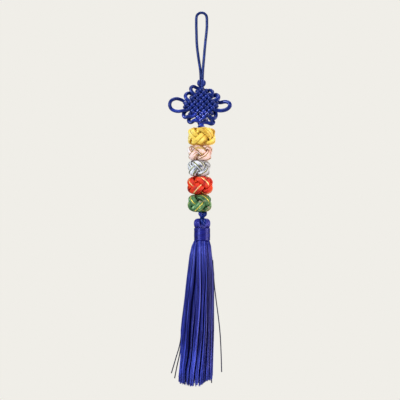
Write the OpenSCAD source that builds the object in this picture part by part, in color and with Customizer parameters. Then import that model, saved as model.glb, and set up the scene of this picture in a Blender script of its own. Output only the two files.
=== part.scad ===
// A knotted tassel ornament, hung by its cord loop. One doubled cord makes the loop, the small top
// knot, the ten-eared endless knot and the small knot under five knotted fabric balls. A wrapped
// silk tassel hangs below. Millimetres, +Z up, front towards -Y. The origin is the inside of the
// top of the loop, where a peg bears.

/* [Cord] */
// Width of the knotting cord where it lies in a knot
cord_w = 2.6; // [2.2:0.05:2.65]
// Thickness of the knotting cord where it is pressed in a knot
cord_t = 2.15; // [1.8:0.05:2.2]
// Diameter of the cord in the hanging loop
loop_cord_d = 2.6; // [2:0.1:3]

/* [Endless knot] */
// Half the width of one mesh of the weave
cell_w = 2.88; // [2.8:0.02:3.2]
// Half the height of one mesh of the weave
cell_h = 3.1; // [3:0.02:3.4]
// How far a cord swings to each side as it passes over and under
weave = 1.15; // [1.12:0.01:1.3]
// Distance of the front and the back mat from the middle of the knot
mat_y = 2.32; // [2.3:0.01:2.6]

/* [Fabric balls] */
// Width and height of the yellow ball
yellow_size = [27.8, 17.2]; // [14:0.1:30]
// Width and height of the pink ball
pink_size = [24.0, 14.4]; // [14:0.1:30]
// Width and height of the silver ball
silver_size = [22.4, 15.6]; // [14:0.1:30]
// Width and height of the red ball
red_size = [25.4, 17.6]; // [14:0.1:30]
// Width and height of the green ball
green_size = [23.8, 17]; // [14:0.1:30]
// Width of the fabric tube, as a share of a ball's half width
strand_share = 0.46; // [0.3:0.01:0.48]
// Thickness of the fabric tube
strand_t = 2.9; // [2:0.1:3]

/* [Tassel] */
// Diameter of the folded head and of the band
head_d = 16; // [15:0.5:17]
// Height of the wrapped band
band_h = 12.6; // [8:0.2:14]
// Thickness of the wrapped band
band_t = 0.8; // [0.6:0.1:1.2]
// Number of locks round the skirt
locks = 18; // [12:1:20]

/* [Hidden] */

violet = [0.2, 0.2, 0.55];
// The endless knot's middle, and the middle of the tassel's head
knot_x = -0.4;
knot_z = -91;
head_x = 0.6;
// How far the endless knot's upper corner is drawn out, and half the flat of a cord over a crossing
corner_pull = 0.4;
flat_half = 0.25;
// How far round towards its poles a ball's strand climbs, in degrees, and the hole down its padding
reach_up = 52;
bore = 3;
// The cord where it is pressed inside the balls
core_d = 2.2;
// Sides of one lock of the skirt
lock_sides = 4;

// Small vector helpers
function unit(v) = v / max(norm(v), 1e-9);
function reversed(list) = [for (n = [len(list) - 1:-1:0]) list[n]];
function flat(lists) = [for (part = lists) for (item = part) item];

// The direction of a path at each of its points; a ring path joins its ends
function tangents(path, closed) = let (last = len(path) - 1)
    [for (n = [0:last]) unit(
        closed ? path[(n + 1) % (last + 1)] - path[(n + last) % (last + 1)]
        : path[min(n + 1, last)] - path[max(n - 1, 0)])];

// The side direction at each point: level with the knot's face where it can be, and never flipped
function side_of(t, last) = let (c = cross(t, [0, 1, 0]), u = norm(c) > 0.4 ? unit(c) : unit(last - (last * t) * t))
    u * last < 0 ? -u : u;
function sides_of(t, first) = [for (n = 0, u = side_of(t[0], first); n < len(t);
    n = n + 1, u = n < len(t) ? side_of(t[n], u) : u) u];

// A tube's rings: an ellipse of the given width and thickness about each point
function rings(path, t, side, w, h, sides) = [for (n = [0:len(path) - 1], k = [0:sides - 1])
    let (a = 360 * k / sides) path[n] + side[n] * (w / 2 * cos(a)) + cross(t[n], side[n]) * (h / 2 * sin(a))];
function tube_faces(count, sides, closed) = flat([
    [for (n = [0:count - (closed ? 1 : 2)], k = [0:sides - 1], half = [0, 1])
        let (m = (n + 1) % count, j = (k + 1) % sides,
            a = n * sides + k, b = n * sides + j, c = m * sides + j, d = m * sides + k)
        half == 0 ? [a, c, b] : [a, d, c]],
    closed ? [] : [[for (k = [0:sides - 1]) k], [for (k = [sides - 1:-1:0]) (count - 1) * sides + k]]]);

module cord(path, w, h, sides = 6) {
    t = tangents(path, false);
    polyhedron(rings(path, t, sides_of(t, [1, 0, 0]), w, h, sides), tube_faces(len(path), sides, false));
}

// The hanging loop's route: [across, depth, up]
LOOP_ROUTE = [[-0.7, 1.1, -64.6], [-0.8, 1, -61], [-1.3, 0.6, -55], [-2.4, 0.2, -48], [-3.4, 0, -41],
    [-4.3, 0, -34], [-4.8, 0, -27], [-5, 0, -20], [-5.2, 0, -13], [-5.2, 0, -8], [-5.1, 0, -4],
    [-4.4, 0, -1.3], [-2.5, 0, 0.6], [0.1, 0, 1.3], [2.7, 0, 0.6], [4.6, 0, -1.3], [5.3, 0, -4],
    [5.4, 0, -8], [5.4, 0, -13], [4.9, 0, -19], [4.1, 0, -26], [3.4, 0, -33], [2.8, 0, -40],
    [2.2, -0.2, -47], [1.6, -0.6, -54], [1.2, -1, -60], [1.1, -1.1, -64.6]];

module hanging_loop() {
    color(violet) cord(LOOP_ROUTE, loop_cord_d, loop_cord_d, 8);
}

// A small round knot: the cord winds twice round the upright and rises and falls three times,
// and so it crosses itself at three places round the middle
module small_knot(reach, swing, rise, w, h, flare, start) {
    steps = 30;
    path = [for (n = [0:steps - 1]) let (a = 360 * n / steps, up = cos(3 * a),
            r = (reach + swing * sin(3 * a)) * (1 + flare * up))
        [r * cos(2 * a + start), r * sin(2 * a + start), rise * up]];
    t = tangents(path, true);
    side = [for (n = [0:steps - 1]) unit(cross([path[n][0], path[n][1], path[n][2] * 0.4], t[n]))];
    polyhedron(rings(path, t, side, w, h, 6), tube_faces(steps, 6, true));
}

module top_knot() {
    color(violet) translate([knot_x + 0.2, 0, -69.1]) small_knot(2.45, 1.12, 2.9, 2.5, 2.05, 0.12, 20);
}

// The endless knot. Six doubled lines lean right, like a slash, and six lean left. Line 0 of each
// is the uppermost. A crossing is (right-leaning line, left-leaning line), and the right-leaning
// one lies outside at each second crossing, in the front mat and in the back one.
function crossing(i, j) = let (k = i + j - 5)
    [knot_x + cell_w * (i - j), knot_z - cell_h * k - corner_pull * max(0, -k - 4)];
function on_line(leans, line, t) = leans == "right" ? crossing(line, t) : crossing(t, line);
function outside(leans, line, t) = ((line + t) % 2 == 0) == (leans == "right") ? 1 : -1;
function at(leans, line, t, y) = let (p = on_line(leans, line, t)) [p[0], y, p[1]];

// One pass along a line in a mat (-1 front, 1 back), from the top down or the other way
function pass(leans, line, mat, down) = let (points = [for (t = [0:5], e = [-1, 1])
        at(leans, line, t + e * flat_half, mat * (mat_y + weave * outside(leans, line, t)))])
    down ? points : reversed(points);

// The hairpin from one mat to the other past a line's lower or upper end
function hairpin(leans, line, low, mat) = let (t = low ? 5 : 0, way = low ? 1 : -1,
        out = outside(leans, line, t), y = mat_y + weave * out,
        reach = out > 0 ? [0.50, 0.66, 0.50] : [0.52, 0.72, 0.52],
        share = out > 0 ? [0.75, 0, -0.75] : [1.15, 0, -1.15])
    [for (n = [0:2]) at(leans, line, t + way * reach[n], mat * y * share[n])];

// Where an ear leaves a line's end in the back mat, or comes back in the front mat
function ear_end(leans, line, low, mat, y = mat_y) = at(leans, line, low ? 5.45 : -0.45, mat * y);

// The ears, from where each leaves to where it comes back: points [across, depth, up] from the
// knot's middle
EAR_RIGHT_1 = [[4.4, 4.2, 15.0], [8.7, 1.5, 16.0], [12.1, -1.2, 13.5], [11.1, -2.2, 10.8]];
EAR_RIGHT_2 = [[11.3, 2.2, 10.4], [14.9, 0.8, 11.1], [17.5, -1, 8.0], [16.1, -2.1, 4.8]];
EAR_RIGHT_CORNER = [[14.6, 4.0, 4.2], [16.6, 4.5, 3.1], [19.6, 4, 2.8], [24.5, 2.2, 4.0], [28.3, 0.4, 2.7],
    [29.4, 0, -0.3], [27.7, 0, -3.6], [23.9, -0.6, -5.3], [18.7, -1.6, -5.8]];
EAR_RIGHT_3 = [[14.9, 1.9, -7.0], [15.5, 0, -11.2], [12.5, -1.7, -14.2]];
EAR_RIGHT_4 = [[12.3, 1.9, -14.4], [13.2, 0, -18.0], [7.9, -1.7, -20.3]];
EAR_LEFT_1 = [[-4.3, 2.2, 18.0], [-8.1, 0.8, 19.2], [-10.5, -1, 16.7], [-9.5, -2.1, 13.6]];
EAR_LEFT_2 = [[-10.1, 2.2, 12.3], [-13.7, 0.8, 12.6], [-16.7, -1, 9.6], [-15.8, -2.1, 6.6]];
EAR_LEFT_CORNER = [[-14.4, 3.4, 4.4], [-16.4, 4.4, 4.0], [-20.4, 4, 5.7], [-25.3, 2, 6.5], [-29.9, 0.4, 4.3],
    [-31.4, 0, 0.2], [-29.6, 0, -4.0], [-24.1, -0.6, -6.3], [-18.5, -1.6, -5.8]];
EAR_LEFT_3 = [[-16.5, 1.9, -6.2], [-17.9, 0, -10.4], [-14.3, -1.7, -13.4]];
EAR_LEFT_4 = [[-11.7, 1.9, -13.4], [-13.3, 0, -17.2], [-9.1, -1.7, -19.3]];

// An ear's points, with one more between each two so that it is round
function ear(start, points, end) = let (p = flat([[start], [for (q = points) q + [knot_x, 0, knot_z]], [end]]),
        last = len(p) - 1)
    [for (n = [0:last], half = [0:n < last ? 1 : 0]) half == 0 ? p[n]
        : (p[n] + p[n + 1]) / 2 + (p[n] - p[max(n - 1, 0)] + p[n + 1] - p[min(n + 2, last)]) / 16];

// There and back along one doubled line: up to its far end in the front mat and home in the back
function doubled(leans, line, down) = flat([pass(leans, line, -1, down), hairpin(leans, line, down, -1),
    pass(leans, line, 1, !down)]);
function ear_between(leans, low, a, b, points) =
    ear(ear_end(leans, a, low, 1), points, ear_end(leans, b, low, -1));

// The right cord does right-leaning lines 0, 2 and 4 from above, then left-leaning 1, 3 and 5
RIGHT_CORD = flat([
    [[0.8, -2.4, -73.6]],
    doubled("right", 0, true), ear_between("right", false, 0, 2, EAR_RIGHT_1),
    doubled("right", 2, true), ear_between("right", false, 2, 4, EAR_RIGHT_2),
    doubled("right", 4, true),
    ear(ear_end("right", 4, false, 1, 3.4), EAR_RIGHT_CORNER, ear_end("left", 1, true, -1)),
    doubled("left", 1, false), ear_between("left", true, 1, 3, EAR_RIGHT_3),
    doubled("left", 3, false), ear_between("left", true, 3, 5, EAR_RIGHT_4),
    doubled("left", 5, false),
    [[1.1, 1.1, -108.8], [0.2, -0.6, -110.9], [-1.4, -0.4, -113], [-1.5, 0, -115.3]]]);

// The left cord does left-leaning lines 0, 2 and 4 from above, then right-leaning 1, 3 and 5
LEFT_CORD = flat([
    [[-1.1, -0.3, -73.7]],
    doubled("left", 0, true), ear_between("left", false, 0, 2, EAR_LEFT_1),
    doubled("left", 2, true), ear_between("left", false, 2, 4, EAR_LEFT_2),
    doubled("left", 4, true),
    ear(ear_end("left", 4, false, 1), EAR_LEFT_CORNER, ear_end("right", 1, true, -1)),
    doubled("right", 1, false), ear_between("right", true, 1, 3, EAR_LEFT_3),
    doubled("right", 3, false), ear_between("right", true, 3, 5, EAR_LEFT_4),
    doubled("right", 5, false),
    [[-1.9, 2.7, -108.8], [-1.1, 2.1, -110.9], [0.8, 1.1, -113], [1.2, 0.1, -115.3]]]);

module endless_knot_right() {
    color(violet) cord(RIGHT_CORD, cord_w, cord_t);
}

module endless_knot_left() {
    color(violet) cord(LEFT_CORD, cord_w, cord_t);
}

// A knotted fabric ball: a strand goes three times round the upright and four times up and down,
// over and under itself by turns, round a padding ball with a hole down its middle
// In each eighth of its way the strand crosses twice, over and then under: [how far on, how far out]
EIGHTH = [[0, 0], [5.5, 0.6], [11, 1], [19, 1], [26, -1], [34, -1], [39.5, -0.6]];
module fabric_ball(x, z, size, start, hand) {
    steps = 8 * len(EIGHTH);
    swing = strand_t / 2 + 0.12;
    a = size[0] / 2 - strand_t / 2 - 0.8 * swing;
    b = (size[1] / 2 - 2.1) / sin(reach_up);
    path = [for (part = [0:7], step = EIGHTH) let (s = 45 * part + step[0], up = reach_up * cos(4 * s),
            turn = hand * 3 * s + start, p = [a * cos(up) * cos(turn), a * cos(up) * sin(turn), b * sin(up)],
            out = unit([p[0] / (a * a), p[1] / (a * a), p[2] / (b * b)]))
        p + out * swing * step[1]];
    t = tangents(path, true);
    side = [for (n = [0:steps - 1])
        unit(cross([path[n][0] / (a * a), path[n][1] / (a * a), path[n][2] / (b * b)], t[n]))];
    inside = swing + strand_t / 2 - 0.3;
    low = acos(bore / (a - inside));
    // A flat ball has a narrower strand, so that its rows of crossings clear each other
    wide = strand_share * min(size[0] / 2, 1.55 * b);
    translate([x, 0, z]) {
        polyhedron(rings(path, t, side, wide, strand_t, 8), tube_faces(steps, 8, true));
        rotate_extrude($fn = 48) polygon([for (k = [-6:6])
            [(a - inside) * cos(low * k / 6), (b - inside) * sin(low * k / 6)]]);
    }
}

module yellow_ball() {
    color("goldenrod") fabric_ball(0.1, -122.35, yellow_size, -38, 1);
}

module pink_ball() {
    color("pink") fabric_ball(-1.4, -138.8, pink_size, -50, 1);
}

module silver_ball() {
    color("silver") fabric_ball(-2.4, -154.3, silver_size, -45, 1);
}

module red_ball() {
    color("orangered") fabric_ball(-1.5, -171.4, red_size, -38, 1);
}

module green_ball() {
    color("seagreen") fabric_ball(-1.8, -189.2, green_size, -38, 1);
}

// The two cords' ends, side by side down through the balls to the small lower knot
CORE_X = [[-0.15, -116], [0, -123], [-1.3, -138], [-2.1, -154], [-1.5, -171], [-1.8, -188], [-1.5, -195], [-0.7, -197.4]];
module core_cords() {
    color(violet) for (way = [-1, 1])
        cord([for (p = CORE_X) [p[0] + way * (core_d / 2 + 0.1), 0, p[1]]], core_d, core_d);
}

module lower_knot() {
    color(violet) translate([0.9, 0, -201.1]) small_knot(2.4, 1.12, 2.1, 2.3, 2.05, 0, 70);
}

// The tassel's outline, from the top down: [height, middle, half width, half depth, depth of the locks]
TASSEL = [
    [-204.4, head_x, 1.4, 1.4, 0], [-205.8, head_x, 1.7, 1.7, 0], [-206.2, head_x, 2.4, 2.3, 0],
    [-204.9, head_x, 3.6, 3.2, 0], [-204.3, head_x, 5.4, 4.8, 0],
    [-205.4, head_x, 7.3, 6.6, 0], [-207.6, head_x, 8.0, 7.6, 0], [-212.4, head_x, 8.0, 7.9, 0],
    [-213.6, head_x, 7.2, 7.2, 0], [-213.8, head_x, 6.9, 6.9, 0], [-226.6, head_x, 6.9, 6.9, 0],
    [-227.4, 0.4, 8.3, 8.0, 0.02], [-236, -0.7, 10.4, 9.6, 0.05], [-246, -0.6, 12, 10.8, 0.06],
    [-256, -0.6, 13.4, 11.8, 0.07], [-271, -1.5, 14.4, 12.5, 0.08], [-286, -2.3, 15.2, 13, 0.08],
    [-301, -3.3, 16.2, 13.5, 0.09], [-316, -4.1, 17.0, 14, 0.09], [-331, -4.5, 16.9, 14, 0.10],
    [-346, -4.8, 16.8, 14, 0.10], [-360, -5.8, 17.4, 14.2, 0.11]];
// How far one lock's tip hangs below its neighbours', by a fixed rule that looks uneven
function tip_drop(k) = 1.6 + 1.6 * sin(k * 137.5);
// The depth of the groove at a point round the skirt: none on a lock's back, full between two
function groove(k) = [0, 0.35, 1, 0.35][k % lock_sides];
module tassel_threads() {
    around = locks * lock_sides;
    end = TASSEL[len(TASSEL) - 1];
    last = len(TASSEL) + 2;
    body = [for (row = TASSEL, k = [0:around - 1]) let (a = 360 * k / around, r = 1 - row[4] * groove(k),
            sag = row[0] > -207 ? 0.9 * pow(sin(a), 2) : 0)
        [row[1] + row[2] * r * cos(a), row[3] * r * sin(a), row[0] - sag]];
    // Each lock ends rounded: [share of the width, how far below the last row]
    tips = [for (step = [[0.97, 3.6], [0.8, 6.2], [0.45, 7.6]], k = [0:around - 1]) let (a = 360 * k / around,
            r = step[0] * (1 - 0.12 * groove(k)), lock = floor((k + lock_sides / 2) / lock_sides) % locks,
            low = step[1] * (1 - 0.3 * groove(k)) + tip_drop(lock) * (1 - groove(k)) * step[0])
        [end[1] + end[2] * r * cos(a), end[3] * r * sin(a), end[0] - low]];
    middles = [[head_x, 0, TASSEL[0][0] - 0.4], [end[1], 0, end[0] - 8.6]];
    color(violet) polyhedron(
        flat([body, tips, middles]),
        flat([
            [for (n = [0:last - 1], k = [0:around - 1], half = [0, 1]) let (j = (k + 1) % around,
                    a = n * around + k, b = n * around + j, c = (n + 1) * around + j, d = (n + 1) * around + k)
                half == 0 ? [a, b, c] : [a, c, d]],
            [for (k = [0:around - 1]) [(last + 1) * around, (k + 1) % around, k]],
            [for (k = [0:around - 1]) [(last + 1) * around + 1, last * around + k,
                last * around + (k + 1) % around]]]));
}

module tassel_band() {
    top = -213.9;
    color(violet) translate([head_x, 0, 0]) rotate_extrude($fn = 64) polygon([
        [head_d / 2 - band_t, top], [head_d / 2 - 0.3, top], [head_d / 2, top - 1],
        [head_d / 2, top - band_h + 1], [head_d / 2 - 0.3, top - band_h], [head_d / 2 - band_t, top - band_h]]);
}

hanging_loop();
top_knot();
endless_knot_right();
endless_knot_left();
yellow_ball();
pink_ball();
silver_ball();
red_ball();
green_ball();
core_cords();
lower_knot();
tassel_threads();
tassel_band();
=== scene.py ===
"""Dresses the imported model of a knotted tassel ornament.

The ornament hangs by a loop of cord. One doubled cord makes the loop, a small round knot, the flat
endless knot with its ears, and a small knot under five balls of interlaced fabric. A silk tassel
hangs below. The routes and outlines of the part's source are repeated here in millimetres, and fine
smooth surfaces are worked out on them. Each mesh is made in metres, in the model's own frame.
"""

from __future__ import annotations

import logging
import math
from dataclasses import dataclass
from enum import Enum
from typing import Any, Mapping, Optional, Sequence, Union

import bpy
import numpy as np
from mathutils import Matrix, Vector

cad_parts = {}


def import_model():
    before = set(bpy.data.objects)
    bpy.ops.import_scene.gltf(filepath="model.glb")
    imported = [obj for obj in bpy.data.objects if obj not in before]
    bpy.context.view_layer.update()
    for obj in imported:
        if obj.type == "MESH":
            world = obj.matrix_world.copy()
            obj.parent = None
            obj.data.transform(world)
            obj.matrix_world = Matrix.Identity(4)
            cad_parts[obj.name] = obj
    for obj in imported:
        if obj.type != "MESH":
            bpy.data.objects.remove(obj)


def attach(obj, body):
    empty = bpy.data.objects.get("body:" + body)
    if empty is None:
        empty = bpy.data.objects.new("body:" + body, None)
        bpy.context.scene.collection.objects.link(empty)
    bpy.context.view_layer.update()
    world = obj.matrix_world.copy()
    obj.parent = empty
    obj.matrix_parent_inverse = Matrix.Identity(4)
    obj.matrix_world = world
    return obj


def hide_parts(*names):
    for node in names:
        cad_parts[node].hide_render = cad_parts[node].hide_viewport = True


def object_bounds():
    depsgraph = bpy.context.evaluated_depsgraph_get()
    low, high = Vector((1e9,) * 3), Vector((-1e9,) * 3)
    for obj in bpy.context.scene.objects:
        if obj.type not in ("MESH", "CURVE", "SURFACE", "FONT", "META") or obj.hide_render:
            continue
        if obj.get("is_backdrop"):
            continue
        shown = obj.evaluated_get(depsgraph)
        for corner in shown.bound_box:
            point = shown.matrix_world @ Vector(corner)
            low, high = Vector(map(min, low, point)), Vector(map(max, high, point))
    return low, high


LOG = logging.getLogger("ornament")
Array = np.ndarray
Colour = tuple[float, float, float]
Point = tuple[float, float, float]
Route = tuple[Point, ...]
Pair = tuple[float, float]
Material = bpy.types.Material
MM = 0.001
FULL = 2.0 * math.pi
# Points read between two points of a route before it is cut into equal steps
DENSE = 60
# x of the middle of the tassel's head and neck, in mm
TASSEL_X = 0.6


# Lines and surfaces


def unit(vectors: Array) -> Array:
    """Scales each vector of the last axis to length 1."""
    return vectors / np.maximum(np.linalg.norm(vectors, axis=-1, keepdims=True), 1e-12)


def eased(values: Array, low: float, high: float) -> Array:
    """Rises from 0 at low to 1 at high along 3t^2 - 2t^3."""
    t = np.clip((values - low) / (high - low), 0.0, 1.0)
    return t * t * (3.0 - 2.0 * t)


def bell(away: Array, width: Any, power: float = 2.0) -> Array:
    """A bell round 0: e to the minus |away / width|^power."""
    return np.exp(-(np.abs(away / width) ** power))


def powered(wave: Array, power: float) -> Array:
    """A wave's size to a power, with its sign kept."""
    return np.sign(wave) * np.abs(wave) ** power


def round_turn(count: int) -> Array:
    """Equal steps of angle from 0 round a full turn."""
    return FULL * np.arange(count) / count


def wrapped(angle: Array) -> Array:
    """The same angle between half a turn back and half a turn on."""
    return np.mod(angle + math.pi, FULL) - math.pi


def joined(values: Array, shift: float = 0.0) -> Array:
    """Puts a ring's last row before its first, less the shift, and its first after its last, plus it."""
    return np.concatenate([values[-1:] - shift, values, values[:1] + shift])


def lengths(points: Array) -> Array:
    """The distance from each point to the next."""
    return np.linalg.norm(np.diff(points[:, :3], axis=0), axis=1)


def running(steps: Array) -> Array:
    """0 and then the running sum of the steps."""
    return np.concatenate([[0.0], np.cumsum(steps)])


def through(knots: Array, points: Array, query: Array) -> Array:
    """Reads a smooth curve through points at the query values.

    Between two points it is a cubic, and its slope at a point is the mean of the slopes on both
    sides, each weighted by the other side's length.

    Args:
        knots: increasing parameter of each point.
        points: one row a point, with any number of columns.
        query: parameters to read at.

    Returns:
        One row for each query value.
    """
    step = np.diff(knots)[:, None]
    slope = np.diff(points, axis=0) / step
    tangent = np.empty_like(points)
    tangent[1:-1] = (slope[:-1] * step[1:] + slope[1:] * step[:-1]) / (step[:-1] + step[1:])
    tangent[0], tangent[-1] = slope[0], slope[-1]
    k = np.clip(np.searchsorted(knots, query, side="right") - 1, 0, len(points) - 2)
    s = ((query - knots[k]) / step[k, 0])[:, None]
    h = step[k]
    return (
        (2 * s**3 - 3 * s**2 + 1) * points[k]
        + (s**3 - 2 * s**2 + s) * h * tangent[k]
        + (3 * s**2 - 2 * s**3) * points[k + 1]
        + (s**3 - s**2) * h * tangent[k + 1]
    )


def read_down(rows: Any, height: Array) -> Array:
    """Reads a table of [height, values ...] rows, from the top down, at heights of any shape."""
    table = np.array(rows, float)[::-1]
    return through(table[:, 0], table[:, 1:], np.ravel(height)).reshape(*np.shape(height), -1)


def smooth_line(points: Any, spacing: float, closed: bool = False, ease: int = 0) -> Array:
    """Draws one smooth line through the points, with equal steps along it.

    Args:
        points: the route, the first three columns a place in mm and any others carried along.
        spacing: the step in mm.
        closed: whether the last point joins the first.
        ease: how many times each point moves half way to the mean of its neighbours.

    Returns:
        The new points. A closed line doesn't repeat its first.
    """
    route = np.asarray(points, float)
    if closed:
        route = np.concatenate([route[-3:], route, route[:4]])
    knots = running(np.sqrt(lengths(route)))
    first, last = (knots[3], knots[-4]) if closed else (knots[0], knots[-1])
    dense = through(knots, route, np.linspace(first, last, DENSE * len(route)))
    arc = running(lengths(dense))
    steps = max(int(round(arc[-1] / spacing)), 3)
    at = np.linspace(0.0, arc[-1], steps + 1)[: steps if closed else steps + 1]
    line = np.stack([np.interp(at, arc, column) for column in dense.T], axis=1)
    for _ in range(ease):
        mean = (np.roll(line, 1, axis=0) + 2 * line + np.roll(line, -1, axis=0)) / 4
        if not closed:
            mean[0], mean[-1] = line[0], line[-1]
        line = mean
    return line


def directions(path: Array, closed: bool = False) -> Array:
    """The unit tangent at each point of a path, from the points on both sides of it."""
    steps = np.roll(path, -1, axis=0) - np.roll(path, 1, axis=0) if closed else np.gradient(path, axis=0)
    return unit(steps)


def level_sides(path: Array, weak: float = 0.45) -> Array:
    """The side direction of a cord, level with the knot's face.

    It is the cross product of the cord's direction and the depth axis. That changes its sign where
    the cord turns back, so signs are multiplied up along the cord. Where the cord runs straight back
    the product is weak, and the side is carried over from both ends of that stretch.

    Args:
        path: the cord's middle line.
        weak: length of the product up to which it isn't used.

    Returns:
        One unit vector a point, square to the cord.
    """
    along = directions(path)
    raw = np.cross(along, (0.0, 1.0, 0.0))
    strong = np.flatnonzero(np.linalg.norm(raw, axis=1) > weak)
    kept = unit(raw[strong])
    flips = np.where((kept[1:] * kept[:-1]).sum(axis=1) < 0.0, -1.0, 1.0)
    kept = kept * np.concatenate([[1.0], np.cumprod(flips)])[:, None]
    places = np.arange(len(path))
    side = np.stack([np.interp(places, strong, kept[:, axis]) for axis in range(3)], axis=1)
    return unit(side - (side * along).sum(axis=1, keepdims=True) * along)


def tube(path: Array, side: Array, wide: Any, thick: Any, around: int, relief: Any = 0.0,
         closed: bool = False, fullness: float = 1.0) -> Array:
    """Carries a rounded section along a path.

    At an angle a the section's point is side * wide/2 * cos(a)^p + normal * thick/2 * sin(a)^p, with
    the sign of the cosine and sine kept. The relief moves it out along that same direction.

    Args:
        path: middle line, one row a ring.
        side: direction of the section's width at each ring.
        wide: full width, one number or one a ring.
        thick: full thickness, one number or one a ring.
        around: points round the section.
        relief: height added, one number or an array of rings by points.
        closed: whether the path joins its ends.
        fullness: the power p. Less than 1 is squarer.

    Returns:
        Points of shape (rings, around, 3).
    """
    normal = np.cross(directions(path, closed), side)
    angle = round_turn(around)
    half_wide, half_thick = (
        np.broadcast_to(np.asarray(size, float) / 2.0, len(path))[:, None] for size in (wide, thick))
    across = (half_wide + relief) * powered(np.cos(angle), fullness)
    up = (half_thick + relief) * powered(np.sin(angle), fullness)
    return path[:, None, :] + side[:, None, :] * across[..., None] + normal[:, None, :] * up[..., None]


def turned(outline: Array, angles: Array, shares: Any, middle: Any = 0.0) -> Array:
    """Turns an outline round the upright: x = middle + radius * share * cos, y = radius * share * sin.

    Args:
        outline: rows of [half width, half depth, height].
        angles: angles round the upright.
        shares: share of the radius, shape (rows, angles) or one that broadcasts to it.
        middle: x of the middle, one number or one a row.

    Returns:
        Points of shape (rows, angles, 3).
    """
    shares = np.broadcast_to(shares, (len(outline), len(angles)))
    x = np.broadcast_to(middle, len(outline))[:, None] + outline[:, 0:1] * shares * np.cos(angles)
    y = outline[:, 1:2] * shares * np.sin(angles)
    return np.stack([x, y, np.broadcast_to(outline[:, 2:3], x.shape)], axis=-1)


def squared(points: Array, half: Array, power: float) -> Array:
    """Fills out a rounded form towards its corners, seen from the side.

    With q the point as shares of the half sizes, r its share across and h its share of the height, q
    is scaled by the ratio of (r^2 + h^2)^(1/2) to (r^p + h^p)^(1/p). The form's six ends stay.

    Args:
        points: points about the form's middle.
        half: its half sizes.
        power: p. 2 keeps the form as it is.

    Returns:
        The moved points.
    """
    q = points / half
    r, h = np.hypot(q[..., 0], q[..., 1]), np.abs(q[..., 2])
    factor = np.hypot(r, h) / np.maximum((r**power + h**power) ** (1.0 / power), 1e-9)
    return points * factor[..., None]


def placed(name: str, data: Any) -> bpy.types.Object:
    """Adds an object to the scene, at the origin.

    Args:
        name: its name.
        data: its mesh, light or camera.

    Returns:
        The object.
    """
    item = bpy.data.objects.new(name, data)
    bpy.context.scene.collection.objects.link(item)
    return item


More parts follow.
